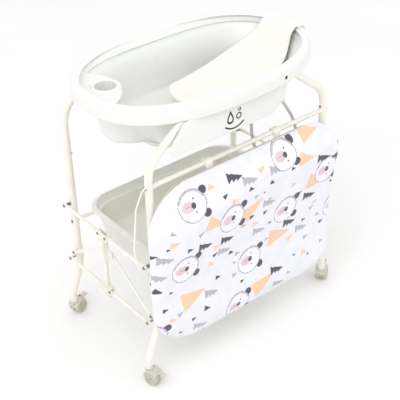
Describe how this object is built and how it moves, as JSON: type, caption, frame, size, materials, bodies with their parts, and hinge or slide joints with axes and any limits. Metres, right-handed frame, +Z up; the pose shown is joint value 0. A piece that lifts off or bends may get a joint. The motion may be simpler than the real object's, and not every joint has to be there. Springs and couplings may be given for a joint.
{
  "type": "changing table",
  "caption": "Folding changing station: oval baby tub with drain hose on a tube frame with casters, storage tray and a padded changing mat hung on the front.",
  "frame": {"origin": "on the floor, in the middle between the four feet", "axes": "+X to the head end of the tub, +Y to the back, +Z up; the pad hangs at -Y"},
  "size_m": [0.8992, 0.5753, 0.9868],
  "materials": {
    "powder_coated_steel": "satin cream powder coat",
    "fitting_plastic": "moulded",
    "zinc_steel": "zinc plated",
    "caster_plastic": "moulded",
    "caster_tread": "moulded",
    "tub_plastic": "smooth moulded",
    "support_plastic": "smooth moulded",
    "tray_plastic": "smooth moulded",
    "hose_vinyl": "soft translucent",
    "pad_fabric": "printed wipe-clean cover",
    "board": "hardboard"
  },
  "bodies": {
    "front_frame": {"front_arch": "powder_coated_steel", "pad_bar": "powder_coated_steel", "front_tray_bar": "powder_coated_steel", "front_leg_clamps": "fitting_plastic", "front_frame_bolts": "zinc_steel", "side_wire_rail": "powder_coated_steel"},
    "left_front_upper_link": {"left_front_upper_link": "powder_coated_steel"},
    "left_back_upper_link": {"left_back_upper_link": "powder_coated_steel"},
    "left_front_lower_link": {"left_front_lower_link": "powder_coated_steel"},
    "left_back_lower_link": {"left_back_lower_link": "powder_coated_steel"},
    "left_front_brace": {"left_front_brace": "powder_coated_steel"},
    "left_back_brace": {"left_back_brace": "powder_coated_steel"},
    "left_centre": {"left_centre_post": "powder_coated_steel", "left_joint_bracket": "powder_coated_steel", "left_foot_pedal": "powder_coated_steel", "left_joint_rivets": "zinc_steel"},
    "left_lock_sleeve": {"left_lock_sleeve": "fitting_plastic"},
    "back_frame": {"back_arch": "powder_coated_steel", "back_tray_bar": "powder_coated_steel", "back_leg_clamps": "fitting_plastic", "back_frame_bolts": "zinc_steel"},
    "right_front_upper_link": {"right_front_upper_link": "powder_coated_steel"},
    "right_back_upper_link": {"right_back_upper_link": "powder_coated_steel"},
    "right_front_lower_link": {"right_front_lower_link": "powder_coated_steel"},
    "right_back_lower_link": {"right_back_lower_link": "powder_coated_steel"},
    "right_front_brace": {"right_front_brace": "powder_coated_steel"},
    "right_back_brace": {"right_back_brace": "powder_coated_steel"},
    "right_centre": {"right_centre_post": "powder_coated_steel", "right_joint_bracket": "powder_coated_steel", "right_foot_pedal": "powder_coated_steel", "right_joint_rivets": "zinc_steel"},
    "right_lock_sleeve": {"right_lock_sleeve": "fitting_plastic"},
    "caster_front_left_swivel": {"caster_front_left_housing": "caster_plastic"},
    "caster_front_left_wheels": {"caster_front_left_wheels": "caster_tread", "caster_front_left_axle": "zinc_steel"},
    "caster_front_left_brake": {"caster_front_left_brake": "caster_plastic"},
    "caster_back_left_swivel": {"caster_back_left_housing": "caster_plastic"},
    "caster_back_left_wheels": {"caster_back_left_wheels": "caster_tread", "caster_back_left_axle": "zinc_steel"},
    "caster_back_left_brake": {"caster_back_left_brake": "caster_plastic"},
    "caster_front_right_swivel": {"caster_front_right_housing": "caster_plastic"},
    "caster_front_right_wheels": {"caster_front_right_wheels": "caster_tread", "caster_front_right_axle": "zinc_steel"},
    "caster_front_right_brake": {"caster_front_right_brake": "caster_plastic"},
    "caster_back_right_swivel": {"caster_back_right_housing": "caster_plastic"},
    "caster_back_right_wheels": {"caster_back_right_wheels": "caster_tread", "caster_back_right_axle": "zinc_steel"},
    "caster_back_right_brake": {"caster_back_right_brake": "caster_plastic"},
    "tub": {"tub_shell": "tub_plastic", "drain_spigot": "tub_plastic", "drain_plug": "tub_plastic", "drain_hose": "hose_vinyl", "hose_clip": "tub_plastic"},
    "bath_support": {"bath_support": "support_plastic"},
    "tray": {"storage_tray": "tray_plastic"},
    "pad": {"pad_cushion": "pad_fabric", "pad_board": "board", "pad_clips": "fitting_plastic", "pad_screws": "zinc_steel"}
  },
  "joints": [
    {"name": "frame_fold", "type": "hinge", "parent": "front_frame", "child": "left_front_upper_link", "pos_m": [-0.392, -0.224, 0.465], "axis": [1, 0, 0], "range_deg": [0, 70]},
    {"name": "left_centre_front_pivot", "type": "hinge", "parent": "left_front_upper_link", "child": "left_centre", "pos_m": [-0.392, -0.02, 0.465], "axis": [1, 0, 0], "range_deg": [-71, 0]},
    {"name": "left_centre_back_pivot", "type": "hinge", "parent": "left_centre", "child": "left_back_upper_link", "pos_m": [-0.392, 0.02, 0.465], "axis": [1, 0, 0], "range_deg": [-71, 0]},
    {"name": "back_frame_pivot", "type": "hinge", "parent": "left_back_upper_link", "child": "back_frame", "pos_m": [-0.392, 0.224, 0.465], "axis": [1, 0, 0], "range_deg": [0, 71]},
    {"name": "left_sleeve_slide", "type": "slide", "parent": "left_centre", "child": "left_lock_sleeve", "axis": [0, 0, 1], "range_m": [-0.09269, 0]},
    {"name": "left_front_lower_pivot", "type": "hinge", "parent": "front_frame", "child": "left_front_lower_link", "pos_m": [-0.392, -0.224, 0.244], "axis": [1, 0, 0], "range_deg": [0, 71]},
    {"name": "left_back_lower_pivot", "type": "hinge", "parent": "left_centre", "child": "left_back_lower_link", "pos_m": [-0.392, 0.02, 0.244], "axis": [1, 0, 0], "range_deg": [-71, 0]},
    {"name": "left_front_brace_pivot", "type": "hinge", "parent": "front_frame", "child": "left_front_brace", "pos_m": [-0.378, -0.224, 0.262], "axis": [1, 0, 0], "range_deg": [0, 40.82]},
    {"name": "left_back_brace_pivot", "type": "hinge", "parent": "back_frame", "child": "left_back_brace", "pos_m": [-0.378, 0.224, 0.262], "axis": [1, 0, 0], "range_deg": [-40.82, 0]},
    {"name": "right_front_upper_pivot", "type": "hinge", "parent": "front_frame", "child": "right_front_upper_link", "pos_m": [0.392, -0.224, 0.465], "axis": [1, 0, 0], "range_deg": [0, 71]},
    {"name": "right_centre_front_pivot", "type": "hinge", "parent": "right_front_upper_link", "child": "right_centre", "pos_m": [0.392, -0.02, 0.465], "axis": [1, 0, 0], "range_deg": [-71, 0]},
    {"name": "right_centre_back_pivot", "type": "hinge", "parent": "right_centre", "child": "right_back_upper_link", "pos_m": [0.392, 0.02, 0.465], "axis": [1, 0, 0], "range_deg": [-71, 0]},
    {"name": "right_sleeve_slide", "type": "slide", "parent": "right_centre", "child": "right_lock_sleeve", "axis": [0, 0, 1], "range_m": [-0.09269, 0]},
    {"name": "right_front_lower_pivot", "type": "hinge", "parent": "front_frame", "child": "right_front_lower_link", "pos_m": [0.392, -0.224, 0.244], "axis": [1, 0, 0], "range_deg": [0, 71]},
    {"name": "right_back_lower_pivot", "type": "hinge", "parent": "right_centre", "child": "right_back_lower_link", "pos_m": [0.392, 0.02, 0.244], "axis": [1, 0, 0], "range_deg": [-71, 0]},
    {"name": "right_front_brace_pivot", "type": "hinge", "parent": "front_frame", "child": "right_front_brace", "pos_m": [0.378, -0.224, 0.262], "axis": [1, 0, 0], "range_deg": [0, 40.82]},
    {"name": "right_back_brace_pivot", "type": "hinge", "parent": "back_frame", "child": "right_back_brace", "pos_m": [0.378, 0.224, 0.262], "axis": [1, 0, 0], "range_deg": [-40.82, 0]},
    {"name": "caster_front_left_turn", "type": "hinge", "parent": "front_frame", "child": "caster_front_left_swivel", "pos_m": [-0.402, -0.224, 0.06], "axis": [0, 0, 1], "continuous": true},
    {"name": "caster_front_left_roll", "type": "hinge", "parent": "caster_front_left_swivel", "child": "caster_front_left_wheels", "pos_m": [-0.39734, -0.24139, 0.025], "axis": [0.9659, 0.2588, 0], "continuous": true},
    {"name": "caster_front_left_brake_press", "type": "hinge", "parent": "caster_front_left_swivel", "child": "caster_front_left_brake", "pos_m": [-0.39152, -0.26312, 0.0515], "axis": [0.9659, 0.2588, 0], "range_deg": [0, 12]},
    {"name": "caster_back_left_turn", "type": "hinge", "parent": "back_frame", "child": "caster_back_left_swivel", "pos_m": [-0.402, 0.224, 0.06], "axis": [0, 0, 1], "continuous": true},
    {"name": "caster_back_left_roll", "type": "hinge", "parent": "caster_back_left_swivel", "child": "caster_back_left_wheels", "pos_m": [-0.38461, 0.22866, 0.025], "axis": [-0.2588, 0.9659, 0], "continuous": true},
    {"name": "caster_back_left_brake_press", "type": "hinge", "parent": "caster_back_left_swivel", "child": "caster_back_left_brake", "pos_m": [-0.36288, 0.23448, 0.0515], "axis": [-0.2588, 0.9659, 0], "range_deg": [0, 12]},
    {"name": "caster_front_right_turn", "type": "hinge", "parent": "front_frame", "child": "caster_front_right_swivel", "pos_m": [0.402, -0.224, 0.06], "axis": [0, 0, 1], "continuous": true},
    {"name": "caster_front_right_roll", "type": "hinge", "parent": "caster_front_right_swivel", "child": "caster_front_right_wheels", "pos_m": [0.41674, -0.21368, 0.025], "axis": [-0.5736, 0.8192, 0], "continuous": true},
    {"name": "caster_front_right_brake_press", "type": "hinge", "parent": "caster_front_right_swivel", "child": "caster_front_right_brake", "pos_m": [0.43518, -0.20077, 0.0515], "axis": [-0.5736, 0.8192, 0], "range_deg": [0, 12]},
    {"name": "caster_back_right_turn", "type": "hinge", "parent": "back_frame", "child": "caster_back_right_swivel", "pos_m": [0.402, 0.224, 0.06], "axis": [0, 0, 1], "continuous": true},
    {"name": "caster_back_right_roll", "type": "hinge", "parent": "caster_back_right_swivel", "child": "caster_back_right_wheels", "pos_m": [0.38509, 0.23016, 0.025], "axis": [-0.342, -0.9397, 0], "continuous": true},
    {"name": "caster_back_right_brake_press", "type": "hinge", "parent": "caster_back_right_swivel", "child": "caster_back_right_brake", "pos_m": [0.36394, 0.23785, 0.0515], "axis": [-0.342, -0.9397, 0], "range_deg": [0, 12]},
    {"name": "tub_lift", "type": "slide", "parent": "front_frame", "child": "tub", "axis": [0, 0, 1], "range_m": [0, 0.4]},
    {"name": "bath_support_lift", "type": "slide", "parent": "tub", "child": "bath_support", "axis": [0, 0, 1], "range_m": [0, 0.25]},
    {"name": "tray_tilt", "type": "hinge", "parent": "front_frame", "child": "tray", "pos_m": [0, -0.236, 0.44], "axis": [1, 0, 0], "range_deg": [0, 64]},
    {"name": "pad_swing", "type": "hinge", "parent": "front_frame", "child": "pad", "pos_m": [0, -0.224, 0.743], "axis": [-1, 0, 0], "range_deg": [0, 90]}
  ],
  "couplings": [
    {"joint": "left_centre_front_pivot", "follows": "frame_fold", "ratio": -1},
    {"joint": "left_centre_back_pivot", "follows": "frame_fold", "ratio": -1},
    {"joint": "back_frame_pivot", "follows": "frame_fold", "ratio": 1},
    {"joint": "left_sleeve_slide", "follows": "frame_fold", "m_per_rad": -0.0748},
    {"joint": "left_front_lower_pivot", "follows": "frame_fold", "ratio": 1},
    {"joint": "left_back_lower_pivot", "follows": "frame_fold", "ratio": -1},
    {"joint": "left_front_brace_pivot", "follows": "frame_fold", "ratio": 0.57497},
    {"joint": "left_back_brace_pivot", "follows": "frame_fold", "ratio": -0.57497},
    {"joint": "right_front_upper_pivot", "follows": "frame_fold", "ratio": 1},
    {"joint": "right_centre_front_pivot", "follows": "frame_fold", "ratio": -1},
    {"joint": "right_centre_back_pivot", "follows": "frame_fold", "ratio": -1},
    {"joint": "right_sleeve_slide", "follows": "frame_fold", "m_per_rad": -0.0748},
    {"joint": "right_front_lower_pivot", "follows": "frame_fold", "ratio": 1},
    {"joint": "right_back_lower_pivot", "follows": "frame_fold", "ratio": -1},
    {"joint": "right_front_brace_pivot", "follows": "frame_fold", "ratio": 0.57497},
    {"joint": "right_back_brace_pivot", "follows": "frame_fold", "ratio": -0.57497},
    {"joint": "tub_lift", "follows": "frame_fold", "m_per_rad": 0.32},
    {"joint": "tray_tilt", "follows": "frame_fold", "ratio": 0.9}
  ]
}
